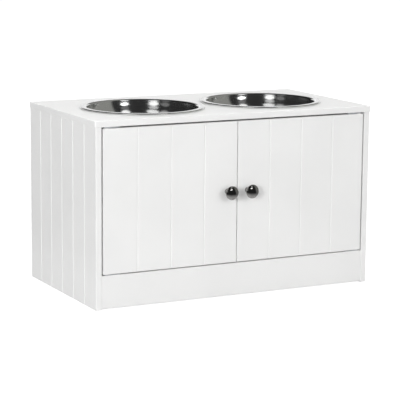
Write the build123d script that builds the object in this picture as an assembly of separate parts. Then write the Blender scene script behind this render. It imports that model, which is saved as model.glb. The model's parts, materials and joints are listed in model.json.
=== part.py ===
from build123d import *
import math
import os

# Raised feeding station for a pet: a two-door storage cabinet of painted boards
# with two drop-in steel bowls in its top.
# Frame: +Z up, the doors face -Y, +X is to the right of someone facing the doors.
# Origin: on the floor, under the centre of the whole footprint with the knobs counted in.
# All lengths are in millimetres.

# ---- Cabinet boards ----
board = 12.0                  # thickness of every structural board
top_width = 600.0
top_depth = 330.0
height = 360.0                # floor to the upper face of the top panel
side_overhang = 1.5           # top panel past each side panel
front_overhang = 0.5          # top panel past the side panels' front edges
board_edge_radius = 1.0
top_edge_radius = 0.8
top_corner_radius = 2.0
plinth_height = 64.0
plinth_lift = 2.0             # plinth boards clear of the floor
plinth_setback = 0.8          # front plinth behind the side panels' front edges
rail_height = 22.0            # rail between the side panels, behind the doors
rail_drop = 6.5               # rail below the top panel: out of sight in the gap over the doors
back_thickness = 5.0
back_inset = 8.0              # back panel in from the rear edges
back_groove_depth = 5.0
back_play = 0.2               # back panel to each wall of its groove
back_end_play = 0.5           # back panel to the bottom of its groove

# ---- Planked faces ----
groove_width = 3.0
groove_depth = 1.0
side_planks = 6
door_planks = 4

# ---- Doors ----
door_thickness = 12.0
door_side_gap = 3.0
door_centre_gap = 1.5
door_top_gap = 3.0
door_bottom_gap = 2.0

# ---- Bowls ----
bowl_gap = 17.0               # between the two rims
bowl_forward = 12.0           # bowl centres in front of the top panel's middle
bowl_mouth_diameter = 227.0
bowl_rim_width = 10.0         # mouth to the rim's outer edge
bowl_height = 68.0            # top of the rim to the underside of the base
bowl_sheet = 0.8
bowl_bead = 3.4               # height of the rolled rim
bowl_lip_radius = 3.5         # inside, from the wall into the rim
bowl_base_radius = 71.0       # inside, from the wall into the base
bowl_taper = 6.5              # degrees from upright
bowl_curl = 250.0             # degrees that the rim is rolled under
bowl_seat_gap = 0.2           # rolled rim above the top panel
cutout_play = 1.5             # bowl wall to the edge of the cut-out

# ---- Pivot hinges ----
pivot_inset = 8.0             # pivot axis in from the door's outer edge
pivot_plate = 1.2             # thickness of the door's steel plates
pivot_air = 0.8               # door's end face to the cabinet's steel plate
pivot_plate_length = 32.0
pivot_plate_width = 9.0
pivot_plate_end = 5.0         # plate past the pivot axis, towards the door's outer edge
pivot_plate_corner = 1.5
pivot_pin_radius = 2.0
pivot_pin_reach = 9.5         # pin past the face of the door's own plate
pivot_play = 0.05             # pin in bush, and bush flange to the cabinet's plate
bush_wall = 1.5
bush_length = 10.0
bush_flange = 1.2             # bush flange past the bush's wall, on radius
mortise_play = 0.1

# ---- Fasteners ----
screw_radius = 1.2            # small countersunk screws in plates and strikes
screw_head_radius = 2.2
screw_head_height = 1.0
screw_length = 8.0
screw_hole_play = 0.05
plate_screw_first = 9.0       # first plate screw from the pivot axis
plate_screw_pitch = 10.0
back_screw_length = 18.0
back_screw_count = 4
back_screw_margin = 60.0      # outer back screws in from the side panels
cam_radius = 5.0
cam_pocket_depth = 9.5
cam_thickness = 9.0
cam_distance = 24.0           # joint face to the cam's centre
cam_slot_width = 1.4
cam_slot_depth = 1.2
bolt_radius = 2.0
bolt_head_radius = 2.6
bolt_head_length = 3.5
bolt_thread_length = 9.0
bolt_bore_play = 0.6
dowel_radius = 3.0
dowel_face_depth = 8.0        # dowel in the board drilled in its face
dowel_edge_depth = 16.0       # dowel in the board drilled in its edge
fit_play = 0.05               # radial play of dowels, cams and catches in their bores
bore_end_play = 0.5

# ---- Knobs ----
knob_diameter = 27.5
knob_projection = 26.0
knob_base_diameter = 11.0
knob_base_thickness = 1.5
knob_neck_diameter = 8.8
knob_neck_height = 8.0        # where the neck is thinnest
knob_shoulder_diameter = 22.0
knob_shoulder_height = 17.5   # underside of the head
knob_head_height = 21.0       # where the head is widest
dome_steps = 6                # points along the knob's elliptical dome
knob_edge_inset = 21.4        # knob axis in from the door's free edge
knob_rise = 2.6               # knob axis above the door's middle
knob_screw_radius = 2.0
knob_screw_head_radius = 4.0
knob_screw_head_height = 2.4
knob_screw_bite = 8.0         # screw inside the knob
knob_screw_play = 0.25

# ---- Magnetic catches ----
catch_edge_inset = 26.0       # catch axis in from the door's free edge
catch_radius = 5.0
catch_length = 9.0
catch_flange_radius = 7.5
catch_flange = 3.5            # keeps the rail clear of the doors as they turn
catch_wall = 1.2
catch_air = 0.2               # magnet to strike with the door shut
magnet_length = 6.0
strike_radius = 7.0
strike_thickness = 1.0

# ---- Derived places ----
knob_reach = knob_projection - front_overhang
footprint_depth = top_depth + knob_reach
top_front = -footprint_depth / 2 + knob_reach
top_back = footprint_depth / 2
top_underside = height - board
front = top_front + front_overhang
back = top_back
side_outer = top_width / 2 - side_overhang
side_inner = side_outer - board
side_depth = back - front
plinth_top = plinth_lift + plinth_height
shelf_underside = plinth_top - board
plinth_front = front + plinth_setback
plinth_back = plinth_front + board
back_rear = back - back_inset
back_front = back_rear - back_thickness
door_rear = front + door_thickness
door_bottom = plinth_top + door_bottom_gap
door_top = top_underside - door_top_gap
door_outer = side_inner - door_side_gap
door_free = door_centre_gap / 2
door_middle = (door_bottom + door_top) / 2
rail_front = door_rear + strike_thickness + catch_air + catch_flange
rail_rear = rail_front + board
rail_top = top_underside - rail_drop
rail_bottom = rail_top - rail_height
pivot_x = door_outer - pivot_inset
pivot_y = front + door_thickness / 2
bowl_rim_diameter = bowl_mouth_diameter + 2 * bowl_rim_width
bowl_x = (bowl_rim_diameter + bowl_gap) / 2
bowl_y = (top_front + top_back) / 2 - bowl_forward
bush_radius = pivot_pin_radius + pivot_play + bush_wall
catch_z = rail_bottom + rail_height / 2
bowl_throat = bowl_mouth_diameter / 2 - bowl_lip_radius * math.tan(math.radians(90 - bowl_taper) / 2)
cutout_radius = bowl_mouth_diameter / 2 - bowl_lip_radius + bowl_sheet + cutout_play
overcut = 1.0                 # how far a cutter starts outside what it cuts

SIDES = {"left": -1, "right": 1}


def slab(x_span, y_span, z_span):
    """Return a box that fills the three (low, high) spans."""
    spans = (x_span, y_span, z_span)
    centre = [(low + high) / 2 for low, high in spans]
    size = [high - low for low, high in spans]
    return Pos(*centre) * Box(*size)


def span(first, second):
    """Return two coordinates in rising order."""
    return (min(first, second), max(first, second))


def round_edges(shape, axis, radius):
    """Round the edges of a shape that run along one axis."""
    return fillet(shape.edges().filter_by(axis), radius)


def rod(radius, start, end):
    """Return a cylinder on the local Z axis between two heights."""
    return Pos(0, 0, (start + end) / 2) * Cylinder(radius, abs(end - start))


def spun(section):
    """Return the solid of a half section (radius, height) turned about the Z axis."""
    return Rot(90, 0, 0) * revolve(section, Axis.Y)


def vee(length):
    """Return a cutter for one vee groove, up the Z axis, that cuts into +Y."""
    mouth = groove_width / 2 * (1 + overcut / groove_depth)
    outline = Polyline((-mouth, -overcut), (mouth, -overcut), (0, groove_depth), close=True)
    return extrude(make_face(outline), length)


def plank_lines(start, length, planks):
    """Return the places of the grooves that divide a length into equal planks."""
    return [start + length * index / planks for index in range(1, planks)]


def plank_middle(index):
    """Return the Y place of the middle of one plank of a side panel."""
    return front + side_depth * (index + 0.5) / side_planks


# ---- Fittings: each returns its pieces and the cutters for the boards that it joins ----

def cam_fitting(seat):
    """Return bolt, cam, face-board cutter and edge-board cutter of one cam fitting.

    seat's origin lies on the joint, its Z runs into the board drilled in its edge and
    its X points to the face that the cam is dropped into.
    """
    head_end = cam_distance + bolt_head_length / 2
    bolt = rod(bolt_radius, -bolt_thread_length, head_end)
    bolt += rod(bolt_head_radius, head_end - bolt_head_length, head_end)
    bore = rod(bolt_head_radius + bolt_bore_play, -overcut, head_end + bolt_bore_play)
    cam_turn = Pos(board / 2, 0, cam_distance) * Rot(0, -90, 0)
    cam = cam_turn * rod(cam_radius - fit_play, 0, cam_thickness)
    cam -= bore
    slot = Box(cam_radius * 1.2, cam_slot_width, 2 * cam_slot_depth)
    cam -= cam_turn * slot
    pocket = cam_turn * rod(cam_radius, -overcut, cam_pocket_depth)
    thread = rod(bolt_radius, -bolt_thread_length - bore_end_play, overcut)
    edge_cutter = bore + pocket
    return [seat.location * piece for piece in (bolt, cam, thread, edge_cutter)]


def dowel_fitting(seat):
    """Return dowel, face-board cutter and edge-board cutter; seat is as for a cam."""
    dowel = rod(dowel_radius, -dowel_face_depth, dowel_edge_depth)
    dowel = chamfer(dowel.edges().filter_by(GeomType.CIRCLE), dowel_radius / 5)
    hole = dowel_radius + fit_play
    face_cutter = rod(hole, -dowel_face_depth - bore_end_play, overcut)
    edge_cutter = rod(hole, -overcut, dowel_edge_depth + bore_end_play)
    return [seat.location * piece for piece in (dowel, face_cutter, edge_cutter)]


def countersunk(length, radius, head_radius, head_height):
    """Return a countersunk screw whose head is flush with Z = 0 and which points to -Z."""
    screw = rod(radius, -length, 0)
    head = Pos(0, 0, -head_height / 2) * Cone(radius, head_radius, head_height)
    return screw + head


def countersunk_hole(depth, radius, head_radius, head_height):
    """Return the cutter that takes such a screw, with play all round."""
    play = screw_hole_play
    hole = rod(radius + play, -depth - bore_end_play, overcut)
    head = Pos(0, 0, -head_height / 2) * Cone(radius + play, head_radius + play, head_height)
    return hole + head


def seat_at(origin, into, towards=None):
    """Return a fitting's plane at a point, with its Z and X directions."""
    return Plane(origin=origin, x_dir=towards, z_dir=into)


# ---- Boards before drilling ----

def make_side_panel(sign):
    """Return one side panel with its grooved outer face."""
    panel = slab(span(sign * side_inner, sign * side_outer), (front, back), (0, top_underside))
    panel = round_edges(panel, Axis.Z, board_edge_radius)
    for y in plank_lines(front, side_depth, side_planks):
        cutter = Pos(sign * side_outer, y, -overcut) * Rot(0, 0, 90 * sign)
        panel -= cutter * vee(top_underside + 2 * overcut)
    groove_reach = side_inner + back_groove_depth
    panel -= slab(span(sign * (side_inner - overcut), sign * groove_reach),
                  (back_front - back_play, back_rear + back_play),
                  (plinth_lift - back_end_play, top_underside + overcut))
    return panel


def make_top_panel():
    """Return the top panel with its two round cut-outs and the groove for the back."""
    panel = slab((-top_width / 2, top_width / 2), (top_front, top_back), (top_underside, height))
    panel = round_edges(panel, Axis.Z, top_corner_radius)
    panel = fillet(panel.edges().group_by(Axis.Z)[-1], top_edge_radius)
    panel = fillet(panel.edges().group_by(Axis.Z)[0], board_edge_radius)
    for sign in SIDES.values():
        centre = Pos(sign * bowl_x, bowl_y, 0)
        panel -= centre * rod(cutout_radius, top_underside - overcut, height + overcut)
    panel -= slab((-side_inner - back_groove_depth, side_inner + back_groove_depth),
                  (back_front - back_play, back_rear + back_play),
                  (top_underside - overcut, top_underside + back_groove_depth))
    return panel


def make_boards():
    """Return every fixed board of the cabinet by name, not yet drilled."""
    inside = (-side_inner, side_inner)
    plinth_rear = back_front - board
    boards = {"top_panel": make_top_panel()}
    for name, sign in SIDES.items():
        boards[f"side_panel_{name}"] = make_side_panel(sign)
    boards["shelf"] = slab(inside, (plinth_back, back_front), (shelf_underside, plinth_top))
    plinth = slab(inside, (plinth_front, plinth_back), (plinth_lift, plinth_top))
    plinth_edges = plinth.faces().sort_by(Axis.Y)[0].edges()
    boards["plinth_front"] = fillet(plinth_edges, board_edge_radius)
    boards["plinth_rear"] = slab(inside, (plinth_rear, back_front), (plinth_lift, shelf_underside))
    boards["door_rail"] = slab(inside, (rail_front, rail_rear), (rail_bottom, rail_top))
    edge = side_inner + back_groove_depth - back_end_play
    boards["back_panel"] = slab((-edge, edge), (back_front, back_rear),
                                (plinth_lift, top_underside + back_groove_depth - back_end_play))
    return boards


# ---- Joinery ----

def cam_seats():
    """Yield (face board, edge board, seat plane) of every cam fitting."""
    for name, sign in SIDES.items():
        side = f"side_panel_{name}"
        inward = (-sign, 0, 0)
        for plank in (1, side_planks - 2):
            origin = (sign * (side_inner + side_outer) / 2, plank_middle(plank), top_underside)
            yield "top_panel", side, seat_at(origin, (0, 0, -1), inward)
            origin = (sign * side_inner, plank_middle(plank), shelf_underside + board / 2)
            yield side, "shelf", seat_at(origin, inward, (0, 0, -1))
        low = plinth_lift + (shelf_underside - plinth_lift) / 3
        origin = (sign * side_inner, plinth_front + board / 2, low)
        yield side, "plinth_front", seat_at(origin, inward, (0, 1, 0))
        origin = (sign * side_inner, back_front - board / 2, low)
        yield side, "plinth_rear", seat_at(origin, inward, (0, -1, 0))
        origin = (sign * side_inner, (rail_front + rail_rear) / 2, rail_bottom + rail_height / 3)
        yield side, "door_rail", seat_at(origin, inward, (0, 1, 0))


def dowel_seats():
    """Yield (face board, edge board, seat plane) of every dowel."""
    rail_y = (rail_front + rail_rear) / 2
    for name, sign in SIDES.items():
        side = f"side_panel_{name}"
        inward = (-sign, 0, 0)
        for plank in (2, side_planks - 3):
            origin = (sign * (side_inner + side_outer) / 2, plank_middle(plank), top_underside)
            yield "top_panel", side, seat_at(origin, (0, 0, -1))
            origin = (sign * side_inner, plank_middle(plank), shelf_underside + board / 2)
            yield side, "shelf", seat_at(origin, inward)
        high = plinth_lift + (shelf_underside - plinth_lift) * 3 / 4
        yield side, "plinth_front", seat_at((sign * side_inner, plinth_front + board / 2, high), inward)
        yield side, "plinth_rear", seat_at((sign * side_inner, back_front - board / 2, high), inward)
        high = rail_bottom + rail_height * 3 / 4
        yield side, "door_rail", seat_at((sign * side_inner, rail_y, high), inward)
    for column in (-1, 0, 1):
        x = column * side_inner * 2 / 3
        yield "plinth_front", "shelf", seat_at((x, plinth_back, shelf_underside + board / 2), (0, 1, 0))
        yield "shelf", "plinth_rear", seat_at((x, back_front - board / 2, shelf_underside), (0, 0, -1))


def join_boards(boards):
    """Drill the boards and return the groups of cam bolts, cams, dowels and back screws."""
    bolts, cams, dowels, screws = [], [], [], []
    for face_board, edge_board, seat in cam_seats():
        bolt, cam, face_cutter, edge_cutter = cam_fitting(seat)
        boards[face_board] -= face_cutter
        boards[edge_board] -= edge_cutter
        bolts.append(bolt)
        cams.append(cam)
    for face_board, edge_board, seat in dowel_seats():
        dowel, face_cutter, edge_cutter = dowel_fitting(seat)
        boards[face_board] -= face_cutter
        boards[edge_board] -= edge_cutter
        dowels.append(dowel)
    reach = side_inner - back_screw_margin
    for index in range(back_screw_count):
        x = -reach + 2 * reach * index / (back_screw_count - 1)
        seat = Pos(x, back_rear, shelf_underside + board / 2) * Rot(-90, 0, 0)
        sizes = (screw_radius, screw_head_radius, screw_head_height)
        screws.append(seat * countersunk(back_screw_length, *sizes))
        hole = seat * countersunk_hole(back_screw_length, *sizes)
        boards["back_panel"] -= hole
        boards["shelf"] -= hole
    return {"cam_bolts": bolts, "cam_locks": cams, "dowels": dowels, "back_screws": screws}


# ---- Pivot hinges ----

def plate_outline(grow):
    """Return a pivot plate's face, grown by some play, with the pivot axis at the origin."""
    length = pivot_plate_length + 2 * grow
    width = pivot_plate_width + 2 * grow
    middle = pivot_plate_length / 2 - pivot_plate_end
    return Pos(middle, 0) * RectangleRounded(length, width, pivot_plate_corner + grow)


def plate_screw_places():
    """Return the screws' distances from the pivot axis."""
    return [plate_screw_first, plate_screw_first + plate_screw_pitch]


def pivot_hinge(gap):
    """Return the pieces and cutters of one pivot hinge, under a gap of the given height.

    Local frame: the pivot axis is Z, the door's end face is Z = 0 with the door below it,
    the cabinet's face is Z = gap, and +X runs to the door's free edge.
    """
    sizes = (screw_radius, screw_head_radius, screw_head_height)
    cabinet_plate = Pos(0, 0, pivot_air) * extrude(plate_outline(0), gap - pivot_air)
    cabinet_plate += rod(pivot_pin_radius, -pivot_pin_reach, gap)
    door_plate = Pos(0, 0, -pivot_plate) * extrude(plate_outline(0), pivot_plate)
    door_plate -= rod(bush_radius + fit_play, -pivot_plate - overcut, overcut)
    mortise = Pos(0, 0, -pivot_plate) * extrude(plate_outline(mortise_play), pivot_plate + overcut)
    bush = rod(bush_radius, -bush_length, 0) + rod(bush_radius + bush_flange, 0, pivot_air - pivot_play)
    bush -= rod(pivot_pin_radius + pivot_play, -bush_length - overcut, gap + overcut)
    bush_bore = rod(bush_radius + fit_play, -bush_length - bore_end_play, overcut)
    cabinet_screws, door_screws = [], []
    cabinet_holes, door_holes = [], []
    for x in plate_screw_places():
        up = Pos(x, 0, pivot_air) * Rot(180, 0, 0)
        down = Pos(x, 0, 0)
        cabinet_screws.append(up * countersunk(screw_length, *sizes))
        cabinet_holes.append(up * countersunk_hole(screw_length, *sizes))
        door_screws.append(down * countersunk(screw_length, *sizes))
        door_holes.append(down * countersunk_hole(screw_length, *sizes))
    for hole in cabinet_holes:
        cabinet_plate -= hole
    for hole in door_holes:
        door_plate -= hole
    return {
        "cabinet_plate": cabinet_plate,
        "door_plate": door_plate,
        "bush": bush,
        "cabinet_screws": cabinet_screws,
        "door_screws": door_screws,
        "cabinet_cutters": cabinet_holes,
        "door_cutters": [mortise, bush_bore] + door_holes,
    }


# ---- Doors ----

def make_door(sign):
    """Return one planked door, not yet drilled."""
    door = slab(span(sign * door_free, sign * door_outer), (front, door_rear), (door_bottom, door_top))
    front_edges = door.faces().sort_by(Axis.Y)[0].edges()
    door = fillet(front_edges, board_edge_radius)
    width = door_outer - door_free
    for offset in plank_lines(door_free, width, door_planks):
        door -= Pos(sign * offset, front, door_bottom - overcut) * vee(door_top - door_bottom + 2 * overcut)
    return door


def make_knob():
    """Return a turned knob that stands on Z = 0, with its screw hole."""
    base = knob_base_diameter / 2
    neck = knob_neck_diameter / 2
    shoulder = knob_shoulder_diameter / 2
    head = knob_diameter / 2
    foot = Polyline((0, 0), (base, 0), (base, knob_base_thickness))
    stem = Spline((base, knob_base_thickness), (neck, knob_neck_height),
                  (shoulder, knob_shoulder_height), (head, knob_head_height),
                  tangents=[(-1.0, 0.3), (0.0, 1.0)])
    crown = knob_projection - knob_head_height
    turns = [math.radians(90 * step / dome_steps) for step in range(dome_steps + 1)]
    dome = Spline(*((head * math.cos(turn), knob_head_height + crown * math.sin(turn)) for turn in turns),
                  tangents=[(0.0, 1.0), (-1.0, 0.0)])
    axis = Line((0, knob_projection), (0, 0))
    knob = spun(make_face([*foot.edges(), stem, dome, axis]))
    thread = rod(knob_screw_radius + fit_play, -overcut, knob_screw_bite + bore_end_play)
    return knob - thread


def make_knob_screw():
    """Return the pan-head screw that runs from behind the door (Z below 0) into the knob."""
    shank = rod(knob_screw_radius, -door_thickness, knob_screw_bite)
    head = rod(knob_screw_head_radius, -door_thickness - knob_screw_head_height, -door_thickness)
    head = fillet(head.edges().group_by(Axis.Z)[0], knob_screw_head_height / 3)
    return shank + head


# ---- Magnetic catches ----

def make_catch():
    """Return catch body and magnet on the local Z axis, with Z = 0 the magnet's face."""
    body = rod(catch_radius - fit_play, -catch_flange - catch_length, 0)
    body += rod(catch_flange_radius, -catch_flange, 0)
    magnet_radius = catch_radius - catch_wall
    body -= rod(magnet_radius, -magnet_length, overcut)
    magnet = rod(magnet_radius - fit_play, -magnet_length, 0)
    return body, magnet


def make_strike():
    """Return a drilled steel strike disc and its screw; Z = 0 is the face to the magnet."""
    sizes = (screw_radius, screw_head_radius, strike_thickness)
    disc = rod(strike_radius, -strike_thickness, 0) - countersunk_hole(screw_length, *sizes)
    return disc, countersunk(screw_length, *sizes), countersunk_hole(screw_length, *sizes)


# ---- Bowls ----

def make_bowl():
    """Return one bowl of sheet steel whose rolled rim hovers just above Z = 0."""
    top = bowl_seat_gap + bowl_bead
    floor = top - bowl_height + bowl_sheet
    bead = bowl_bead / 2
    bead_r = bowl_rim_diameter / 2 - bead
    floor_r = bowl_throat - math.tan(math.radians(bowl_taper)) * (top - floor)
    dish = FilletPolyline((0, floor), (floor_r, floor), (bowl_throat, top), (bead_r, top),
                          radius=[bowl_base_radius, bowl_lip_radius])
    curl = CenterArc((bead_r, top - bead), bead, 90, -bowl_curl)
    section = offset(Wire([*dish.edges(), *curl.edges()]), bowl_sheet, side=Side.RIGHT, closed=True)
    return spun(make_face(section))


# ---- Whole part ----

def group(pieces):
    """Return separate solids that share one node."""
    return Compound(children=list(pieces))


def add_hinges(nodes, boards, doors):
    """Fit an upper and a lower pivot hinge to each door, with their screws."""
    cabinet_screws = []
    levels = {
        "upper": ("top_panel", door_top, (0, 0, 1), door_top_gap),
        "lower": ("plinth_front", door_bottom, (0, 0, -1), door_bottom_gap),
    }
    for side, sign in SIDES.items():
        door_screws = []
        for level, (board_name, end_face, outward, gap) in levels.items():
            seat = seat_at((sign * pivot_x, pivot_y, end_face), outward, (-sign, 0, 0)).location
            hinge = pivot_hinge(gap)
            nodes[f"pivot_plate_{level}_{side}"] = seat * hinge["cabinet_plate"]
            nodes[f"door_plate_{level}_{side}"] = seat * hinge["door_plate"]
            nodes[f"pivot_bush_{level}_{side}"] = seat * hinge["bush"]
            cabinet_screws += [seat * screw for screw in hinge["cabinet_screws"]]
            door_screws += [seat * screw for screw in hinge["door_screws"]]
            for cutter in hinge["cabinet_cutters"]:
                boards[board_name] -= seat * cutter
            for cutter in hinge["door_cutters"]:
                doors[side] -= seat * cutter
        nodes[f"door_plate_screws_{side}"] = group(door_screws)
    nodes["pivot_plate_screws"] = group(cabinet_screws)


def add_catches(nodes, boards, doors):
    """Fit a magnetic catch to the rail and its steel strike to the back of each door."""
    catch_x = door_free + catch_edge_inset
    body, magnet = make_catch()
    disc, screw, screw_hole = make_strike()
    bore = rod(catch_radius, -catch_flange - catch_length - bore_end_play, -catch_flange + overcut)
    for side, sign in SIDES.items():
        x = sign * catch_x
        catch_seat = seat_at((x, rail_front - catch_flange, catch_z), (0, -1, 0)).location
        nodes[f"catch_{side}"] = catch_seat * body
        nodes[f"catch_magnet_{side}"] = catch_seat * magnet
        boards["door_rail"] -= catch_seat * bore
        strike_seat = seat_at((x, door_rear + strike_thickness, catch_z), (0, 1, 0)).location
        nodes[f"strike_{side}"] = strike_seat * disc
        nodes[f"strike_screw_{side}"] = strike_seat * screw
        doors[side] -= strike_seat * screw_hole


def add_knobs(nodes, doors):
    """Screw a knob to each door near its free edge, a little above half its height."""
    knob = make_knob()
    screw = make_knob_screw()
    hole = rod(knob_screw_radius + knob_screw_play, -door_thickness - overcut, overcut)
    for side, sign in SIDES.items():
        place = (sign * (door_free + knob_edge_inset), front, door_middle + knob_rise)
        seat = seat_at(place, (0, -1, 0)).location
        nodes[f"knob_{side}"] = seat * knob
        nodes[f"knob_screw_{side}"] = seat * screw
        doors[side] -= seat * hole


def build_nodes():
    """Return every node of the part by name."""
    nodes = {}
    boards = make_boards()
    doors = {side: make_door(sign) for side, sign in SIDES.items()}
    for name, pieces in join_boards(boards).items():
        nodes[name] = group(pieces)
    add_hinges(nodes, boards, doors)
    add_catches(nodes, boards, doors)
    add_knobs(nodes, doors)
    bowl = make_bowl()
    for side, sign in SIDES.items():
        nodes[f"door_{side}"] = doors[side]
        nodes[f"bowl_{side}"] = Pos(sign * bowl_x, bowl_y, height) * bowl
    nodes.update(boards)
    return nodes


os.makedirs("parts", exist_ok=True)
for node_name, shape in build_nodes().items():
    export_step(shape, f"parts/{node_name}.step")
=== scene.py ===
"""Raised pet feeder with storage: its finishes, pressed and turned pieces, floor, light and camera."""

from __future__ import annotations

import json
import logging
import math
from dataclasses import dataclass, field
from enum import Enum
from typing import Any, Iterable, Mapping, Sequence

import bpy
from mathutils import Matrix, Vector


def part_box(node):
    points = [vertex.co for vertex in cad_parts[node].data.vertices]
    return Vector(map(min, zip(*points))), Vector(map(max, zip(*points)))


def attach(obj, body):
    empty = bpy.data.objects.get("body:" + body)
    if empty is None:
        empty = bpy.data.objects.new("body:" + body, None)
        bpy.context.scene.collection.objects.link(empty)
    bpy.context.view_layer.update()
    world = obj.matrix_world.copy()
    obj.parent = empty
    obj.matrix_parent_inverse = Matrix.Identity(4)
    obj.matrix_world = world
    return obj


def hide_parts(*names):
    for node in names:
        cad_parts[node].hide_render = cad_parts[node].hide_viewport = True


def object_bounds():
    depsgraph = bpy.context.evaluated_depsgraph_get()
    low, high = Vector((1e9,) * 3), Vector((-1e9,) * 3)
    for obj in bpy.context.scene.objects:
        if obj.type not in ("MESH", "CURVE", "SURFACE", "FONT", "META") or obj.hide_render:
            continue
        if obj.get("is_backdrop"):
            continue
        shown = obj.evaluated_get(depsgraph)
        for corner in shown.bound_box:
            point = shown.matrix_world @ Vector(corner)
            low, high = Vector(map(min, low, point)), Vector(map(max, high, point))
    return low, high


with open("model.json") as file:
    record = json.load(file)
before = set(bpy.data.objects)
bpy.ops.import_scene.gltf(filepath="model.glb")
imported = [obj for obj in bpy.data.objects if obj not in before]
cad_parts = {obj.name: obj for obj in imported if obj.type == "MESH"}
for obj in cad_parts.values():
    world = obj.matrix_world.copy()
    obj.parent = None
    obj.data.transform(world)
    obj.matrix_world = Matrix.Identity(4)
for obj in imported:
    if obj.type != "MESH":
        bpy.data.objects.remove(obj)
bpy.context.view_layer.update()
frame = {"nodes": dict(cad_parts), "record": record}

LOG = logging.getLogger("feeder")
MM = 0.001
SIDES = ("left", "right")
LEVELS = ("upper", "lower")
LAMP_AIM = Vector((0.0, 0.0, 0.2))
REARWARD = Vector((0, 1, 0))

Colour = tuple[float, float, float]
Outline = list[tuple[float, float]]


class Body(Enum):
    """The rigid bodies that pieces ride on, apart from the two doors and bowls."""

    CABINET = "cabinet"


class Slot(Enum):
    """The record's material slots."""

    WHITE_PAINT = "white_paint"
    BEECH = "beech"
    ZINC = "zinc"
    POLISHED_STEEL = "polished_steel"
    BLACK_NICKEL = "black_nickel"
    WHITE_NYLON = "white_nylon"
    MAGNET = "magnet"


# ---------------------------------------------------------------- shader building


class Value:
    """A shader socket that takes part in Python arithmetic.

    Args:
        recipe: The material under construction that owns the socket.
        socket: The output socket to wrap.
    """

    def __init__(self, recipe: "Recipe", socket: bpy.types.NodeSocket) -> None:
        """Keep the socket and the material that it belongs to."""
        self.recipe = recipe
        self.socket = socket

    def maths(self, operation: str, *others: "Value | float", first: bool = True) -> "Value":
        """Add one Math node.

        Args:
            operation: The Math node's operation.
            others: The other operands.
            first: Whether this value is the first operand.

        Returns:
            The node's result.
        """
        operands = (self, *others) if first else (*others, self)
        made = self.recipe.node("ShaderNodeMath", {"operation": operation}, dict(enumerate(operands)))
        return Value(self.recipe, made.outputs[0])

    def __add__(self, other: "Value | float") -> "Value":
        """Return self + other."""
        return self.maths("ADD", other)

    def __sub__(self, other: "Value | float") -> "Value":
        """Return self - other."""
        return self.maths("SUBTRACT", other)

    def __rsub__(self, other: float) -> "Value":
        """Return other - self."""
        return self.maths("SUBTRACT", other, first=False)

    def __mul__(self, other: "Value | float") -> "Value":
        """Return self * other."""
        return self.maths("MULTIPLY", other)

    __radd__ = __add__
    __rmul__ = __mul__

    def ramp(self, low: float, high: float, to_low: float = 0.0, to_high: float = 1.0) -> "Value":
        """Map low..high to to_low..to_high, smoothly and clamped.

        Args:
            low: The value that gives to_low.
            high: The value that gives to_high.
            to_low: The result at low.
            to_high: The result at high.

        Returns:
            The mapped value.
        """
        sockets = {"Value": self, 1: low, 2: high, 3: to_low, 4: to_high}
        made = self.recipe.node("ShaderNodeMapRange", {"interpolation_type": "SMOOTHSTEP"}, sockets)
        return Value(self.recipe, made.outputs[0])


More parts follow.
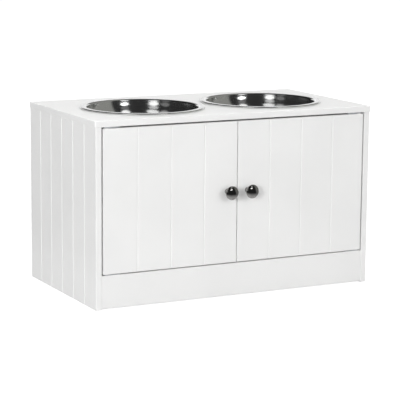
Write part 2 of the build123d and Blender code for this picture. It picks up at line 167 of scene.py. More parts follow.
class Recipe:
    """A node tree of a material or a world under construction.

    Args:
        owner: The new material or world.
    """

    def __init__(self, owner: bpy.types.Material | bpy.types.World) -> None:
        """Start an empty node tree with its output node."""
        self.owner = owner
        self.owner.use_nodes = True
        self.tree = self.owner.node_tree
        self.tree.nodes.clear()
        kind = "World" if isinstance(owner, bpy.types.World) else "Material"
        self.output = self.node(f"ShaderNodeOutput{kind}")

    def node(
        self,
        kind: str,
        settings: Mapping[str, Any] | None = None,
        sockets: Mapping[str | int, Any] | None = None,
    ) -> bpy.types.Node:
        """Add a node, set its settings, then fill or link its sockets.

        Args:
            kind: The node's type.
            settings: Properties to set first.
            sockets: A value or a link for each named or numbered input.

        Returns:
            The new node.
        """
        made = self.tree.nodes.new(kind)
        for key, value in (settings or {}).items():
            setattr(made, key, value)
        for key, value in (sockets or {}).items():
            target = made.inputs[key]
            if isinstance(value, Value):
                self.tree.links.new(value.socket, target)
            elif isinstance(value, bpy.types.NodeSocket):
                self.tree.links.new(value, target)
            else:
                target.default_value = value
        return made

    def place(self, scale: Sequence[float] = (1, 1, 1), offset: Sequence[float] = (0, 0, 0)) -> Any:
        """Return Object coordinates, moved by offset and then scaled.

        Args:
            scale: Factor along each axis.
            offset: What is taken off the coordinates before they are scaled.

        Returns:
            The mapped vector's socket.
        """
        coordinates = self.node("ShaderNodeTexCoord").outputs["Object"]
        moved = self.node("ShaderNodeVectorMath", {"operation": "SUBTRACT"}, {0: coordinates, 1: offset})
        sized = self.node("ShaderNodeVectorMath", {"operation": "MULTIPLY"}, {0: moved.outputs[0], 1: scale})
        return sized.outputs[0]

    def noise(self, vector: Any, scale: float, detail: float = 3.0, roughness: float = 0.5) -> Value:
        """Return a noise pattern between 0 and 1.

        Args:
            vector: The coordinates' socket.
            scale: Features per metre.
            detail: Number of finer octaves.
            roughness: Strength of the finer octaves.

        Returns:
            The noise's factor.
        """
        sockets = {"Vector": vector, "Scale": scale, "Detail": detail, "Roughness": roughness}
        made = self.node("ShaderNodeTexNoise", None, sockets)
        return Value(self, made.outputs["Fac"])

    def facing(self, direction: Any, azimuth: float) -> Value:
        """Return the cosine between an azimuth of the lamps and a direction seen from above.

        Args:
            direction: The direction's socket.
            azimuth: The azimuth in degrees: 0 in front of the doors, rising towards the right.

        Returns:
            The cosine, 1 where the direction points to that azimuth.
        """
        turn = math.radians(azimuth)
        level = self.node("ShaderNodeVectorMath", {"operation": "MULTIPLY"}, {0: direction, 1: (1.0, 1.0, 0.0)})
        level = self.node("ShaderNodeVectorMath", {"operation": "NORMALIZE"}, {0: level.outputs[0]})
        toward = (math.sin(turn), -math.cos(turn), 0.0)
        share = self.node("ShaderNodeVectorMath", {"operation": "DOT_PRODUCT"}, {0: level.outputs[0], 1: toward})
        return Value(self, share.outputs["Value"])

    def blend(self, mask: Value, low: Any, high: Any) -> Any:
        """Mix two colours, each a constant or a link.

        Args:
            mask: 0 for low and 1 for high.
            low: The first colour.
            high: The second colour.

        Returns:
            The mixed colour's socket.
        """
        ends = {key: (*end, 1.0) if isinstance(end, tuple) else end for key, end in ((6, low), (7, high))}
        return self.node("ShaderNodeMix", {"data_type": "RGBA"}, {"Factor": mask, **ends}).outputs[2]

    def bump(self, height: Value, depth: float, strength: float = 1.0) -> Any:
        """Turn a height pattern into a normal.

        Args:
            height: The pattern, 0 to 1.
            depth: Real height of the pattern in metres.
            strength: How much of it is used.

        Returns:
            The normal's socket.
        """
        made = self.node("ShaderNodeBump", None, {"Height": height, "Distance": depth, "Strength": strength})
        return made.outputs["Normal"]

    def surface(self, sockets: Mapping[str | int, Any]) -> bpy.types.Material:
        """End the recipe with one Principled shader.

        Args:
            sockets: The shader's values and links.

        Returns:
            The finished material.
        """
        shader = self.node("ShaderNodeBsdfPrincipled", None, sockets)
        self.tree.links.new(shader.outputs[0], self.output.inputs["Surface"])
        return self.owner


# ---------------------------------------------------------------- finishes


@dataclass(frozen=True)
class Lacquer:
    """Satin lacquer rolled onto fibreboard.

    Attributes:
        colour: The paint's colour.
        shade: The slightly duller colour of its thinner patches.
        roughness: Sheen of the paint.
        stipple: Roller stipple, in marks per metre.
        stipple_depth: Height of the stipple in metres.
    """

    colour: Colour = (0.855, 0.855, 0.85)
    shade: Colour = (0.83, 0.83, 0.825)
    roughness: float = 0.38
    stipple: float = 750.0
    stipple_depth: float = 0.00004

    def material(self, name: str) -> bpy.types.Material:
        """Return the paint as a material of the given name.

        Args:
            name: The material's name.

        Returns:
            The material.
        """
        recipe = Recipe(bpy.data.materials.new(name))
        place = recipe.place()
        mottle = recipe.noise(place, 7.0, 4.0)
        stipple = recipe.noise(place, self.stipple, 2.0, 0.6)
        ripple = recipe.noise(place, self.stipple / 12, 2.0)
        height = stipple * 0.6 + ripple
        return recipe.surface({
            "Base Color": recipe.blend(mottle.ramp(0.3, 0.7), self.shade, self.colour),
            "Roughness": mottle * 0.08 + stipple * 0.06 + (self.roughness - 0.07),
            "Normal": recipe.bump(height, self.stipple_depth),
        })


@dataclass(frozen=True)
class SpunSteel:
    """Mirror-polished stainless sheet with faint polishing rings round an upright axis.

    Attributes:
        colour: The metal's colour.
        rough_low: Roughness of the brightest rings.
        rough_high: Roughness of the dullest rings.
        rings: Polishing rings per metre of radius.
        ring_depth: Height of the rings in metres.
        rim: Radii between which the polish gives way to the satin of the rim.
        rim_rough: What the satin adds to the roughness.
    """

    colour: Colour = (0.78, 0.785, 0.78)
    rough_low: float = 0.1
    rough_high: float = 0.17
    rings: float = 900.0
    ring_depth: float = 0.000002
    rim: tuple[float, float] = (0.1125, 0.115)
    rim_rough: float = 0.06

    def material(self, name: str, centre: Sequence[float]) -> bpy.types.Material:
        """Return the metal as a material whose rings run round a centre.

        Args:
            name: The material's name.
            centre: A point on the axis of the rings.

        Returns:
            The material.
        """
        recipe = Recipe(bpy.data.materials.new(name))
        flat = recipe.place((1, 1, 0), centre)
        length = recipe.node("ShaderNodeVectorMath", {"operation": "LENGTH"}, {0: flat})
        radius = Value(recipe, length.outputs["Value"])
        height = recipe.node("ShaderNodeSeparateXYZ", None, {0: recipe.place()}).outputs["Z"]
        across = recipe.node("ShaderNodeCombineXYZ", None, {"X": radius, "Z": height}).outputs[0]
        rings = recipe.noise(across, self.rings, 3.0, 0.6)
        smears = recipe.noise(recipe.place(), 35.0, 3.0)
        grade = rings * 0.6 + smears * 0.4
        rim = radius.ramp(*self.rim, 0.0, self.rim_rough)
        return recipe.surface({
            "Base Color": (*self.colour, 1.0),
            "Metallic": 1.0,
            "Roughness": grade.ramp(0.3, 0.7, self.rough_low, self.rough_high) + rim,
            "Normal": recipe.bump(rings, self.ring_depth),
        })


@dataclass(frozen=True)
class Plating:
    """A plated metal: even colour, faint cloudiness and fine handling marks.

    Attributes:
        colour: The metal's colour.
        cloud: The colour of its cloudy patches.
        rough_low: Roughness where it is bright.
        rough_high: Roughness where it is dull.
        grain: Marks per metre.
        grain_depth: Height of the marks in metres.
        metallic: How much of the light it gives back as a mirror does.
    """

    colour: Colour
    cloud: Colour
    rough_low: float
    rough_high: float
    grain: float = 600.0
    grain_depth: float = 0.000004
    metallic: float = 1.0

    def material(self, name: str) -> bpy.types.Material:
        """Return the plating as a material of the given name.

        Args:
            name: The material's name.

        Returns:
            The material.
        """
        recipe = Recipe(bpy.data.materials.new(name))
        place = recipe.place()
        clouds = recipe.noise(place, 120.0, 3.0)
        grain = recipe.noise(place, self.grain, 3.0, 0.6)
        return recipe.surface({
            "Base Color": recipe.blend(clouds.ramp(0.35, 0.7), self.colour, self.cloud),
            "Metallic": self.metallic,
            "Roughness": grain.ramp(0.3, 0.75, self.rough_low, self.rough_high),
            "Normal": recipe.bump(grain, self.grain_depth),
        })


@dataclass(frozen=True)
class Timber:
    """Bare turned hardwood with short fine grain.

    Attributes:
        pale: Colour of the early wood.
        dark: Colour of the flecks.
    """

    pale: Colour = (0.66, 0.47, 0.29)
    dark: Colour = (0.47, 0.29, 0.15)

    def material(self, name: str) -> bpy.types.Material:
        """Return the wood as a material of the given name.

        Args:
            name: The material's name.

        Returns:
            The material.
        """
        recipe = Recipe(bpy.data.materials.new(name))
        grain = recipe.noise(recipe.place((1, 1, 0.15)), 900.0, 4.0, 0.65)
        return recipe.surface({
            "Base Color": recipe.blend(grain.ramp(0.35, 0.7), self.pale, self.dark),
            "Roughness": grain * 0.15 + 0.55,
            "Normal": recipe.bump(grain, 0.00005),
        })


@dataclass(frozen=True)
class Moulding:
    """A dull moulded or pressed solid, such as nylon or ferrite.

    Attributes:
        colour: The material's colour.
        shade: The colour of its darker grains.
        roughness: Mean roughness.
    """

    colour: Colour
    shade: Colour
    roughness: float

    def material(self, name: str) -> bpy.types.Material:
        """Return the moulding as a material of the given name.

        Args:
            name: The material's name.

        Returns:
            The material.
        """
        recipe = Recipe(bpy.data.materials.new(name))
        grain = recipe.noise(recipe.place(), 1500.0, 3.0, 0.6)
        return recipe.surface({
            "Base Color": recipe.blend(grain.ramp(0.35, 0.65), self.shade, self.colour),
            "Roughness": grain * 0.12 + (self.roughness - 0.06),
            "Normal": recipe.bump(grain, 0.00003),
        })


BLACK_NICKEL = Plating((0.41, 0.402, 0.393), (0.34, 0.333, 0.325), 0.05, 0.12)
ZINC = Plating((0.60, 0.62, 0.65), (0.50, 0.51, 0.53), 0.28, 0.46, 400.0, 0.00001, 0.3)
NYLON = Moulding((0.86, 0.86, 0.84), (0.80, 0.80, 0.78), 0.42)
FERRITE = Moulding((0.07, 0.07, 0.075), (0.04, 0.04, 0.045), 0.6)


# ---------------------------------------------------------------- bench work


def pick(*objects: bpy.types.Object) -> None:
    """Make these objects the only selected ones, with the first one active.

    Args:
        objects: The objects to select.
    """
    bpy.ops.object.select_all(action="DESELECT")
    for item in objects:
        item.select_set(True)
    bpy.context.view_layer.objects.active = objects[0]


def arc(centre: Sequence[float], radius: float, start: float, sweep: float, steps: int) -> Outline:
    """Return points along an arc of an outline.

    Args:
        centre: The arc's centre.
        radius: The arc's radius.
        start: Where it starts, in degrees.
        sweep: How far it runs, in degrees, negative for clockwise.
        steps: How many chords it is cut into.

    Returns:
        The points, both ends included.
    """
    turns = [math.radians(start + sweep * step / steps) for step in range(steps + 1)]
    return [(centre[0] + radius * math.cos(turn), centre[1] + radius * math.sin(turn)) for turn in turns]


def curve(ends: Sequence[Sequence[float]], pulls: Sequence[Sequence[float]], steps: int) -> Outline:
    """Return points along a Bezier curve of an outline.

    Args:
        ends: The first and the last point.
        pulls: The two control points between them.
        steps: How many chords it is cut into.

    Returns:
        The points, both ends included.
    """
    first, second, third, last = (Vector(item) for item in (ends[0], *pulls, ends[1]))
    made = []
    for step in range(steps + 1):
        t = step / steps
        s = 1 - t
        point = first * s**3 + second * 3 * s * s * t + third * 3 * s * t * t + last * t**3
        made.append((point.x, point.y))
    return made


def draw_chain(name: str, points: Sequence[Vector]) -> bpy.types.Object:
    """Extrude one vertex from point to point and stay in edit mode.

    Args:
        name: The new object's name.
        points: The chain's points.

    Returns:
        The object, still in edit mode.
    """
    bpy.ops.object.select_all(action="DESELECT")
    bpy.ops.mesh.primitive_plane_add(size=MM)
    made = bpy.context.object
    made.name = made.data.name = name
    bpy.ops.object.mode_set(mode="EDIT")
    bpy.ops.mesh.merge(type="CENTER")
    bpy.ops.transform.translate(value=points[0])
    for before, after in zip(points, points[1:]):
        bpy.ops.mesh.extrude_region_move(TRANSFORM_OT_translate={"value": after - before})
    return made


@dataclass(frozen=True)
class Spindle:
    """An axis in space that outlines are turned about.

    Attributes:
        centre: Where the outline's height is 0.
        axis: The direction of rising height.
        steps: Facets round the axis.
    """

    centre: Vector
    axis: Vector
    steps: int = 96

    def turn(self, name: str, outline: Outline) -> bpy.types.Object:
        """Turn (radius, height) pairs about the axis.

        Args:
            name: The new object's name.
            outline: The outline's points in metres.

        Returns:
            The turned object, in object mode.
        """
        out = self.axis.orthogonal().normalized()
        points = [self.centre + out * radius + self.axis * height for radius, height in outline]
        made = draw_chain(name, points)
        bpy.ops.mesh.select_all(action="SELECT")
        bpy.ops.mesh.spin(steps=self.steps, angle=math.tau, center=self.centre, axis=self.axis)
        bpy.ops.mesh.select_all(action="SELECT")
        bpy.ops.mesh.remove_doubles(threshold=0.001 * MM)
        bpy.ops.mesh.normals_make_consistent(inside=False)
        bpy.ops.object.mode_set(mode="OBJECT")
        return made


def apply_modifier(item: bpy.types.Object, kind: str, settings: Mapping[str, Any]) -> None:
    """Add a modifier with its settings and apply it.

    Args:
        item: The object to change.
        kind: The modifier's type.
        settings: The modifier's properties.
    """
    pick(item)
    modifier = item.modifiers.new(kind.lower(), kind)
    for key, value in settings.items():
        setattr(modifier, key, value)
    bpy.ops.object.modifier_apply(modifier=modifier.name)


def smooth(item: bpy.types.Object, angle: float = 35.0) -> None:
    """Shade an object smooth except over edges sharper than an angle.

    Args:
        item: The object to shade.
        angle: The angle in degrees.
    """
    pick(item)
    bpy.ops.object.shade_smooth_by_angle(angle=math.radians(angle))


def dress(item: bpy.types.Object, material: bpy.types.Material) -> None:
    """Give an object one material in every slot.

    Args:
        item: The object to dress.
        material: Its material.
    """
    if not item.data.materials:
        item.data.materials.append(material)
    for slot in item.material_slots:
        slot.material = material


def box_of(node: str) -> tuple[Vector, Vector]:
    """Return the lowest and highest corners of a node as vectors."""
    low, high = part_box(node)
    return Vector(low), Vector(high)


def rear_middle(node: str) -> Vector:
    """Return the middle of the rear face of a node's box."""
    low, high = box_of(node)
    return Vector(((low.x + high.x) / 2, high.y, (low.z + high.z) / 2))


# ---------------------------------------------------------------- sub-assemblies


@dataclass
class FeedingBowl:
    """One bowl of thin steel sheet: a tapered dish, a flared lip and a rolled rim.

    Attributes:
        side: Which bowl it is.
        sheet: Thickness of the steel.
        mouth: Radius where the lip turns into the rim.
        lip: Inner radius of the bend from the wall into the rim.
        corner: Inner radius of the large bend from the wall into the base.
        taper: Slope of the wall from upright, in degrees.
        bead: Radius of the rolled edge.
        roll: How far the edge is rolled under, in degrees.
        steps: Facets round the bowl.
    """

    side: str
    sheet: float = 0.8 * MM
    mouth: float = 113.5 * MM
    lip: float = 3.5 * MM
    corner: float = 71.0 * MM
    taper: float = 6.5
    bead: float = 1.7 * MM
    roll: float = 250.0
    steps: int = 180

    def outline(self, rim: float, floor: float, top: float) -> Outline:
        """Return the inner face of the sheet from the middle of the base to the rolled edge.

        Args:
            rim: Outer radius of the rolled edge.
            floor: Height of the base's upper face.
            top: Height of the rim's upper face.

        Returns:
            The outline as (radius, height) pairs.
        """
        bend = 90 - self.taper
        slope = math.radians(self.taper)
        bends = self.lip + self.corner
        straight = top - floor - bends * (1 - math.sin(slope))
        flat = self.mouth - bends * math.cos(slope) - straight * math.tan(slope)
        base = [(0.0, floor), (flat / 2, floor)]
        base += arc((flat, floor + self.corner), self.corner, -90, bend, 36)
        flare = arc((self.mouth, top - self.lip), self.lip, 90 + bend, -bend, 12)
        edge = arc((rim - self.bead, top - self.bead), self.bead, 90, -self.roll, 20)
        return base + flare + edge

    def build(self, metal: bpy.types.Material) -> bpy.types.Object:
        """Turn the bowl, thicken its sheet and set it in its cut-out.

        Args:
            metal: The bowl's material.

        Returns:
            The finished bowl.
        """
        node = f"bowl_{self.side}"
        low, high = box_of(node)
        centre = Vector(((low.x + high.x) / 2, (low.y + high.y) / 2, 0.0))
        outline = self.outline((high.x - low.x) / 2, low.z + self.sheet, high.z)
        made = Spindle(centre, Vector((0, 0, 1)), self.steps).turn(f"spun_bowl_{self.side}", outline)
        apply_modifier(made, "SOLIDIFY", {"thickness": self.sheet, "offset": -1.0, "use_even_offset": True})
        smooth(made)
        dress(made, metal)
        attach(made, node)
        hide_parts(node)
        return made


@dataclass
class DoorKnob:
    """A turned knob with a foot, a waisted stem and a domed head.

    Attributes:
        side: Which door it is on.
        foot: Radius of the foot.
        foot_height: Thickness of the foot's straight edge.
        waist: Radius of the stem where it is thinnest.
        waist_height: Height of the waist above the door.
        shoulder: Radius under the head.
        shoulder_height: Height of the head's underside.
        widest: Height where the head is widest.
        foot_pull: How far the stem's curve starts outside the waist.
        flare_pull: How far the flare's curve ends under the head.
        turn_pulls: How far the head's turned edge starts outwards, how far upwards, and how far under the widest
            place it ends.
        dome_steps: Chords of the dome.
        soft_angle: Edges up to this angle are shaded smooth, in degrees.
        steps: Facets round the knob.
    """

    side: str
    foot: float = 5.5 * MM
    foot_height: float = 1.5 * MM
    waist: float = 4.4 * MM
    waist_height: float = 8.0 * MM
    shoulder: float = 11.0 * MM
    shoulder_height: float = 17.5 * MM
    widest: float = 21.0 * MM
    foot_pull: float = 1.0 * MM
    flare_pull: float = 0.8 * MM
    turn_pulls: tuple[float, float, float] = (1.4 * MM, 0.5 * MM, 2.0 * MM)
    dome_steps: int = 24
    soft_angle: float = 50.0
    steps: int = 96

    def outline(self, head: float, height: float) -> Outline:
        """Return the knob's outline from the middle of its foot to the middle of its dome.

        Args:
            head: Radius of the head.
            height: How far the knob stands off the door.

        Returns:
            The outline as (radius, height) pairs.
        """
        round_edge = self.foot_height / 3
        foot = [(0.0, 0.0), (self.foot * 0.7, 0.0), (self.foot, 0.0)]
        foot += arc((self.foot - round_edge, self.foot_height - round_edge), round_edge, 0, 80, 4)
        waist = (self.waist, self.waist_height)
        under = (self.shoulder, self.shoulder_height)
        rise = (self.waist_height - self.foot_height) / 2
        out, up, down = self.turn_pulls
        low_pull = (self.waist + self.foot_pull, self.foot_height + rise * 0.4)
        stem = curve((foot[-1], waist), (low_pull, (self.waist, self.waist_height - rise)), 12)
        high_pull = (self.shoulder * 0.75, self.shoulder_height - self.flare_pull)
        flare = curve((waist, under), ((self.waist, self.waist_height + rise), high_pull), 12)
        turn = curve((under, (head, self.widest)), ((self.shoulder + out, self.shoulder_height + up),
                                                    (head, self.widest - down)), 10)
        crown = height - self.widest
        quarters = (math.pi / 2 * step / self.dome_steps for step in range(1, self.dome_steps + 1))
        dome = [(head * math.cos(angle), self.widest + crown * math.sin(angle)) for angle in quarters]
        dome[-1] = (0.0, height)
        return foot + stem[1:] + flare[1:] + turn[1:] + dome

    def build(self, metal: bpy.types.Material) -> bpy.types.Object:
        """Turn the knob and stand it on its door.

        Args:
            metal: The knob's plating.

        Returns:
            The finished knob.
        """
        node = f"knob_{self.side}"
        low, high = box_of(node)
        outline = self.outline((high.x - low.x) / 2, high.y - low.y)
        axle = Spindle(rear_middle(node), Vector((0, -1, 0)), self.steps)
        made = axle.turn(f"turned_knob_{self.side}", outline)
        smooth(made, self.soft_angle)
        dress(made, metal)
        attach(made, f"door_{self.side}")
        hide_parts(node)
        return made


class Head(Enum):
    """Shapes of a screw's head."""

    COUNTERSUNK = "countersunk"
    PAN = "pan"


@dataclass
class CrossScrew:
    """A screw with a cross recess, drawn with its head's face at height 0 and its tip below.

    Attributes:
        head: The shape of its head.
        radius: Radius of its shank.
        head_radius: Radius of its head.
        head_height: Height of its head.
        length: Whole length, head included.
        recess_arms: Length and breadth of the recess's arms, against the head's radius.
        recess_depth: Depth of the recess's cutter, against the head's height.
        steps: Facets round the screw.
    """

    head: Head
    radius: float
    head_radius: float
    head_height: float
    length: float
    recess_arms: tuple[float, float] = (1.15, 0.24)
    recess_depth: float = 1.1
    steps: int = 32

    def outline(self) -> Outline:
        """Return the screw's outline from the middle of its head to its tip.

        Returns:
            The outline as (radius, height) pairs.
        """
        tip = [(self.radius, -self.length + self.radius), (self.radius * 0.3, -self.length), (0.0, -self.length)]
        if self.head is Head.PAN:
            crown = self.head_height / 3
            top = [(0.0, 0.0)] + arc((self.head_radius - crown, -crown), crown, 90, -90, 5)
            return top + [(self.head_radius, -self.head_height), (self.radius, -self.head_height)] + tip
        return [(0.0, 0.0), (self.head_radius, 0.0), (self.radius, -self.head_height)] + tip

    def recess(self, centre: Vector, axis: Vector) -> bpy.types.Object:
        """Return the cross-shaped cutter of the driver's recess.

        Args:
            centre: The middle of the head's face.
            axis: The direction that the head faces.

        Returns:
            The cutter.
        """
        reach, breadth = (self.head_radius * share for share in self.recess_arms)
        arms = []
        for quarter in (0, 1):
            bpy.ops.object.select_all(action="DESELECT")
            turn = axis.to_track_quat("Z", "Y") @ Matrix.Rotation(quarter * math.pi / 2, 3, "Z").to_quaternion()
            bpy.ops.mesh.primitive_cube_add(size=1.0, location=centre, rotation=turn.to_euler())
            arm = bpy.context.object
            arm.scale = (reach, breadth, self.head_height * self.recess_depth)
            pick(arm)
            bpy.ops.object.transform_apply(location=True, rotation=True, scale=True)
            arms.append(arm)
        apply_modifier(arms[0], "BOOLEAN", {"operation": "UNION", "object": arms[1], "solver": "EXACT"})
        bpy.data.objects.remove(arms[1])
        return arms[0]

    def build(self, name: str, centre: Vector, axis: Vector) -> bpy.types.Object:
        """Turn one screw and cut its recess.

        Args:
            name: The new object's name.
            centre: The middle of the head's face.
            axis: The direction that the head faces.

        Returns:
            The screw.
        """
        made = Spindle(centre, axis, self.steps).turn(name, self.outline())
        cutter = self.recess(centre, axis)
        apply_modifier(made, "BOOLEAN", {"operation": "DIFFERENCE", "object": cutter, "solver": "EXACT"})
        bpy.data.objects.remove(cutter)
        smooth(made)
        return made

    def fit(
        self, node: str, body: str, places: Iterable[tuple[Vector, Vector]], metal: bpy.types.Material
    ) -> bpy.types.Object:
        """Build a screw at each place and join them into the piece that stands for a node.

        Args:
            node: The node that the screws replace.
            body: The body that they ride on.
            places: (middle of the head's face, direction that it faces) of each screw.
            metal: Their plating.

        Returns:
            The joined screws.
        """
        made = [self.build(f"{node}_cross", centre, axis) for centre, axis in places]
        pick(*made)
        if len(made) > 1:
            bpy.ops.object.join()
        dress(made[0], metal)
        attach(made[0], body)
        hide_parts(node)
        return made[0]


@dataclass
class Hardware:
    """Every visible screw of the cabinet and its doors.

    Attributes:
        plate_screw: The small countersunk screw of plates and strikes.
        back_screw: The longer countersunk screw of the back panel.
        knob_screw: The pan-head screw behind each knob.
        first: Distance from a pivot axis to its plate's first screw.
        pitch: Distance between a plate's screws.
        plate_end: Plate past the pivot axis, towards the door's outer edge.
        air: From a door's end face to the cabinet's plate.
        back_count: How many screws hold the back panel.
    """

    plate_screw: CrossScrew = field(
        default_factory=lambda: CrossScrew(Head.COUNTERSUNK, 1.2 * MM, 2.2 * MM, 1.0 * MM, 8.0 * MM))
    back_screw: CrossScrew = field(
        default_factory=lambda: CrossScrew(Head.COUNTERSUNK, 1.2 * MM, 2.2 * MM, 1.0 * MM, 18.0 * MM))
    knob_screw: CrossScrew = field(
        default_factory=lambda: CrossScrew(Head.PAN, 2.0 * MM, 4.0 * MM, 2.4 * MM, 22.4 * MM))
    first: float = 9.0 * MM
    pitch: float = 10.0 * MM
    plate_end: float = 5.0 * MM
    air: float = 0.8 * MM
    back_count: int = 4

    def plate_places(self, plate: str, face: float, facing: float) -> list[tuple[Vector, Vector]]:
        """Return where the screws of one pivot plate sit.

        Args:
            plate: The plate's node.
            face: Height of the plate's open face.
            facing: 1 where the heads face up, -1 where they face down.

        Returns:
            A (place, direction) pair for each screw.
        """
        low, high = box_of(plate)
        middle = (low.y + high.y) / 2
        outer, inward = (low.x, 1) if high.x < 0 else (high.x, -1)
        places = [outer + inward * (self.plate_end + self.first + step * self.pitch) for step in (0, 1)]
        return [(Vector((x, middle, face)), Vector((0, 0, facing))) for x in places]

    def build(self, metal: bpy.types.Material) -> list[bpy.types.Object]:
        """Fit all the screws.

        Args:
            metal: Their plating.

        Returns:
            The pieces.
        """
        made = []
        cabinet_places = []
        for side in SIDES:
            door_places = []
            for level, facing in zip(LEVELS, (1, -1)):
                plate = f"door_plate_{level}_{side}"
                low, high = box_of(plate)
                face = high.z if facing > 0 else low.z
                door_places += self.plate_places(plate, face, facing)
                fixed = f"pivot_plate_{level}_{side}"
                cabinet_places += self.plate_places(fixed, face + facing * self.air, -facing)
            body = f"door_{side}"
            made.append(self.plate_screw.fit(f"door_plate_screws_{side}", body, door_places, metal))
            for screw, node in ((self.plate_screw, f"strike_screw_{side}"), (self.knob_screw, f"knob_screw_{side}")):
                made.append(screw.fit(node, body, [(rear_middle(node), REARWARD)], metal))
        cabinet = Body.CABINET.value
        made.append(self.plate_screw.fit("pivot_plate_screws", cabinet, cabinet_places, metal))
        low, high = box_of("back_screws")
        head = self.back_screw.head_radius
        reach = high.x - low.x - 2 * head
        places = [low.x + head + reach * index / (self.back_count - 1) for index in range(self.back_count)]
        back = [(Vector((x, high.y, (low.z + high.z) / 2)), REARWARD) for x in places]
        made.append(self.back_screw.fit("back_screws", cabinet, back, metal))
        return made


@dataclass
class Carcass:
    """The boards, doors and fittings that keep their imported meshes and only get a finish.

    Attributes:
        finishes: The material of each slot.
    """

    finishes: Mapping[str, bpy.types.Material]

    def build(self) -> list[bpy.types.Object]:
        """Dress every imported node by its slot.

        Returns:
            The dressed nodes.
        """
        slots = {entry["node"]: entry["material_slot"] for entry in frame["record"]["subparts"]}
        for name, node in frame["nodes"].items():
            dress(node, self.finishes[slots[name]])
        return list(frame["nodes"].values())


# ---------------------------------------------------------------- studio


@dataclass(frozen=True)
class SoftBox:
    """A round or oval lamp that faces the middle of the object.

    Attributes:
        name: The lamp's name.
        azimuth: Where it stands, in degrees: 0 in front of the doors, rising towards the right.
        elevation: How high it hangs, in degrees above the horizon.
        power: Its power in watts.
        distance: How far it is from the object.
        width: Its width.
        height: Its height.
        mirrored: Whether polished metal shows it.
    """

    name: str
    azimuth: float
    elevation: float
    power: float
    distance: float = 3.0
    width: float = 0.8
    height: float = 0.8
    mirrored: bool = True

    def build(self) -> bpy.types.Object:
        """Hang the lamp.

        Returns:
            The lamp.
        """
        data = bpy.data.lights.new(self.name, "AREA")
        data.shape = "ELLIPSE"
        data.size, data.size_y = self.width, self.height
        data.energy = self.power
        lamp = bpy.data.objects.new(self.name, data)
        lamp.visible_glossy = self.mirrored
        bpy.context.scene.collection.objects.link(lamp)
        turn, rise = math.radians(self.azimuth), math.radians(self.elevation)
        away = Vector((math.sin(turn) * math.cos(rise), -math.cos(turn) * math.cos(rise), math.sin(rise)))
        place = LAMP_AIM + away * self.distance
        lamp.matrix_world = Matrix.Translation(place) @ away.to_track_quat("Z", "Y").to_matrix().to_4x4()
        return lamp


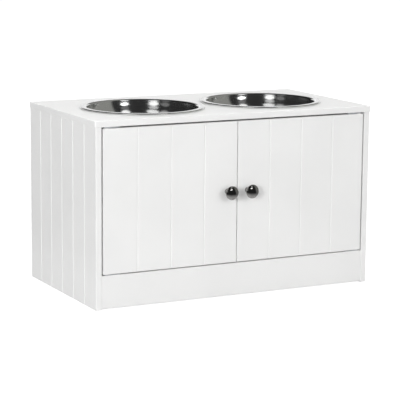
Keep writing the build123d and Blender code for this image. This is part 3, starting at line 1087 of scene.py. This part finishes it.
@dataclass
class Studio:
    """A white floor, a dim room with a white backdrop, soft lamps and the camera.

    Attributes:
        eye: The camera's place.
        pan: Its turn about the upright axis, in degrees, 0 looking along +Y.
        tilt: Its tilt above the horizon, in degrees.
        roll: Its roll, in degrees.
        focal: Its focal length in image widths.
        boxes: The lamps.
        floor_radius: Radius of the floor.
        floor_steps: Facets round the floor.
        floor_colour: The floor's colour.
        floor_glow: What the floor near the object adds to its own brightness for the camera.
        floor_lit: How far out that starts and stops to rise to white.
        floor_mirror: How bright near floor and far floor are in reflections.
        floor_fade: How far out the floor starts and stops to fade in reflections.
        backdrop: The colour of the backdrop behind the object.
        ceiling: The room's colour overhead.
        wall: The colour of the grey wall beside the object.
        wall_azimuth: Where the wall stands, in the lamps' degrees.
        wall_edge: Cosine of the turn from there where the wall stops and starts.
        backdrop_azimuth: Where the white backdrop stands.
        backdrop_edge: Cosine of the turn from there where the backdrop stops and starts.
        backdrop_top: Sine of the height where the backdrop starts and stops to fade.
    """

    eye: tuple[float, float, float] = (-1.551495, -3.032253, 0.777316)
    pan: float = -27.0438
    tilt: float = -10.179
    roll: float = -0.4896
    focal: float = 4.28249
    boxes: tuple[SoftBox, ...] = (
        SoftBox("left_low_box", -49.5, 13.8, 25.0, 9.0, width=3.3, height=2.2),
        SoftBox("left_middle_box", -50.9, 26.2, 7.5, 9.0, width=3.2, height=1.6),
        SoftBox("left_high_box", -52.1, 39.7, 18.0, 9.0, width=3.8, height=1.9),
        SoftBox("right_low_box", 13.2, 14.6, 28.0, 9.0, width=2.7, height=1.2),
        SoftBox("right_middle_box", 14.6, 26.2, 1.6, 9.0, width=2.7, height=1.8),
        SoftBox("right_high_box", 17.0, 40.5, 19.0, 9.0, width=2.8, height=2.3),
        SoftBox("side_low_box", -75.5, 13.8, 2.3, 9.0, width=3.0, height=1.8),
        SoftBox("side_high_box", -82.5, 38.6, 7.0, 9.0, width=3.0, height=2.4),
        SoftBox("left_fill", -46.0, 12.0, 91.0, 5.0, width=1.7, height=0.9, mirrored=False),
        SoftBox("door_fill", 3.0, 19.0, 9.0, width=1.4, mirrored=False),
        SoftBox("front_fill", -2.0, 13.0, 47.5, width=6.5, height=2.6, mirrored=False),
        SoftBox("side_fill", -85.0, 12.0, 28.2, mirrored=False),
        SoftBox("back_fill", 138.0, 1.6, 110.0, 5.0, width=1.6, height=0.5, mirrored=False),
        SoftBox("top_box", 0.0, 88.0, 65.5, width=1.6, height=1.6, mirrored=False),
    )
    floor_radius: float = 120.0
    floor_steps: int = 96
    floor_colour: Colour = (0.34, 0.34, 0.34)
    floor_glow: float = 0.92
    floor_lit: tuple[float, float] = (0.6, 1.4)
    floor_mirror: tuple[float, float] = (0.8, 0.03)
    floor_fade: tuple[float, float] = (0.15, 0.95)
    backdrop: Colour = (1.0, 1.0, 1.0)
    ceiling: Colour = (0.03, 0.03, 0.03)
    wall: Colour = (0.28, 0.282, 0.266)
    wall_azimuth: float = 85.0
    wall_edge: tuple[float, float] = (0.7, 0.79)
    backdrop_azimuth: float = 153.0
    backdrop_edge: tuple[float, float] = (0.78, 0.86)
    backdrop_top: tuple[float, float] = (0.2, 0.35)

    def build_camera(self) -> bpy.types.Object:
        """Set up the camera.

        Returns:
            The camera.
        """
        data = bpy.data.cameras.new("camera")
        data.lens = self.focal * data.sensor_width
        camera = bpy.data.objects.new("camera", data)
        bpy.context.scene.collection.objects.link(camera)
        turns = ((self.pan, "Z"), (90 + self.tilt, "X"), (-self.roll, "Z"))
        pose = Matrix.Translation(self.eye)
        for degrees, axis in turns:
            pose = pose @ Matrix.Rotation(math.radians(degrees), 4, axis)
        camera.matrix_world = pose
        bpy.context.scene.camera = camera
        return camera

    def build_floor(self) -> bpy.types.Object:
        """Lay the floor.

        Returns:
            The floor.
        """
        bpy.ops.object.select_all(action="DESELECT")
        bpy.ops.mesh.primitive_circle_add(vertices=self.floor_steps, radius=self.floor_radius, fill_type="NGON")
        floor = bpy.context.object
        floor.name = floor.data.name = "floor"
        bpy.ops.object.mode_set(mode="EDIT")
        bpy.ops.mesh.select_all(action="SELECT")
        bpy.ops.mesh.poke()
        bpy.ops.mesh.normals_make_consistent(inside=False)
        bpy.ops.object.mode_set(mode="OBJECT")
        dress(floor, self.floor_paint())
        floor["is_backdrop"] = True
        return floor

    def floor_paint(self) -> bpy.types.Material:
        """Mix the floor's paint, which glows for the camera, and in reflections near the object and behind it.

        Returns:
            The paint.
        """
        recipe = Recipe(bpy.data.materials.new("white_floor"))
        place = recipe.place()
        length = recipe.node("ShaderNodeVectorMath", {"operation": "LENGTH"}, {0: place})
        distance = Value(recipe, length.outputs["Value"])
        near = distance.ramp(*self.floor_fade, *self.floor_mirror)
        lit = near.maths("MAXIMUM", recipe.facing(place, self.backdrop_azimuth).ramp(*self.backdrop_edge))
        lit = lit.maths("MAXIMUM", recipe.facing(place, self.wall_azimuth).ramp(*self.wall_edge, 0.0, self.wall[0]))
        rays = recipe.node("ShaderNodeLightPath")
        mirrored = Value(recipe, rays.outputs["Is Glossy Ray"])
        mirrored = mirrored.maths("MAXIMUM", Value(recipe, rays.outputs["Is Transmission Ray"]))
        seen = Value(recipe, rays.outputs["Is Camera Ray"]) * distance.ramp(*self.floor_lit, self.floor_glow, 1.0)
        paint = recipe.node("ShaderNodeBsdfDiffuse", None, {"Color": (*self.floor_colour, 1.0)})
        glow = recipe.node("ShaderNodeEmission", None, {"Strength": seen})
        both = recipe.node("ShaderNodeAddShader", None, {0: paint.outputs[0], 1: glow.outputs[0]})
        dim = recipe.node("ShaderNodeEmission", None, {"Strength": lit})
        ends = {0: mirrored, 1: both.outputs[0], 2: dim.outputs[0]}
        mixed = recipe.node("ShaderNodeMixShader", None, ends)
        recipe.tree.links.new(mixed.outputs[0], recipe.output.inputs["Surface"])
        return recipe.owner

    def build_room(self) -> bpy.types.World:
        """Paint the room: a white backdrop, a grey wall and a dim ceiling.

        Returns:
            The world.
        """
        recipe = Recipe(bpy.data.worlds.new("room"))
        direction = recipe.node("ShaderNodeTexCoord").outputs["Generated"]
        rise = Value(recipe, recipe.node("ShaderNodeSeparateXYZ", None, {0: direction}).outputs["Z"])
        beside = recipe.facing(direction, self.wall_azimuth).ramp(*self.wall_edge)
        behind = recipe.facing(direction, self.backdrop_azimuth).ramp(*self.backdrop_edge)
        room = recipe.blend(beside, self.ceiling, self.wall)
        pale = behind * rise.ramp(*self.backdrop_top, 1.0, 0.0)
        seen = Value(recipe, recipe.node("ShaderNodeLightPath").outputs["Is Camera Ray"])
        colour = recipe.blend(pale.maths("MAXIMUM", seen), room, self.backdrop)
        glow = recipe.node("ShaderNodeBackground", None, {"Color": colour})
        recipe.tree.links.new(glow.outputs[0], recipe.output.inputs["Surface"])
        bpy.context.scene.world = recipe.owner
        return recipe.owner

    def build(self) -> None:
        """Build the floor, the room, the lamps and the camera."""
        bpy.context.scene.view_settings.view_transform = "Standard"
        self.build_floor()
        self.build_room()
        for lamp in self.boxes:
            lamp.build()
        self.build_camera()


def make_finishes() -> dict[str, bpy.types.Material]:
    """Return the material of each slot.

    Returns:
        The materials by slot name. The bowls get their own copies, centred on each bowl.
    """
    return {
        Slot.WHITE_PAINT.value: Lacquer().material("white_lacquer"),
        Slot.BEECH.value: Timber().material("bare_beech"),
        Slot.ZINC.value: ZINC.material("zinc_plate"),
        Slot.POLISHED_STEEL.value: SpunSteel().material("polished_steel", (0, 0, 0)),
        Slot.BLACK_NICKEL.value: BLACK_NICKEL.material("black_nickel"),
        Slot.WHITE_NYLON.value: NYLON.material("white_nylon"),
        Slot.MAGNET.value: FERRITE.material("ferrite"),
    }


def main() -> None:
    """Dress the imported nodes, build the new pieces and set up the studio."""
    finishes = make_finishes()
    made = Carcass(finishes).build()
    for side in SIDES:
        low, high = box_of(f"bowl_{side}")
        steel = SpunSteel().material(f"spun_steel_{side}", (low + high) / 2)
        made.append(FeedingBowl(side).build(steel))
        made.append(DoorKnob(side).build(finishes[Slot.BLACK_NICKEL.value]))
    made += Hardware().build(finishes[Slot.ZINC.value])
    for piece in made:
        LOG.info("%s: %d faces", piece.name, len(piece.data.polygons))
    Studio().build()
    low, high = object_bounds()


if __name__ == "__main__":
    logging.basicConfig(level=logging.INFO)
    main()
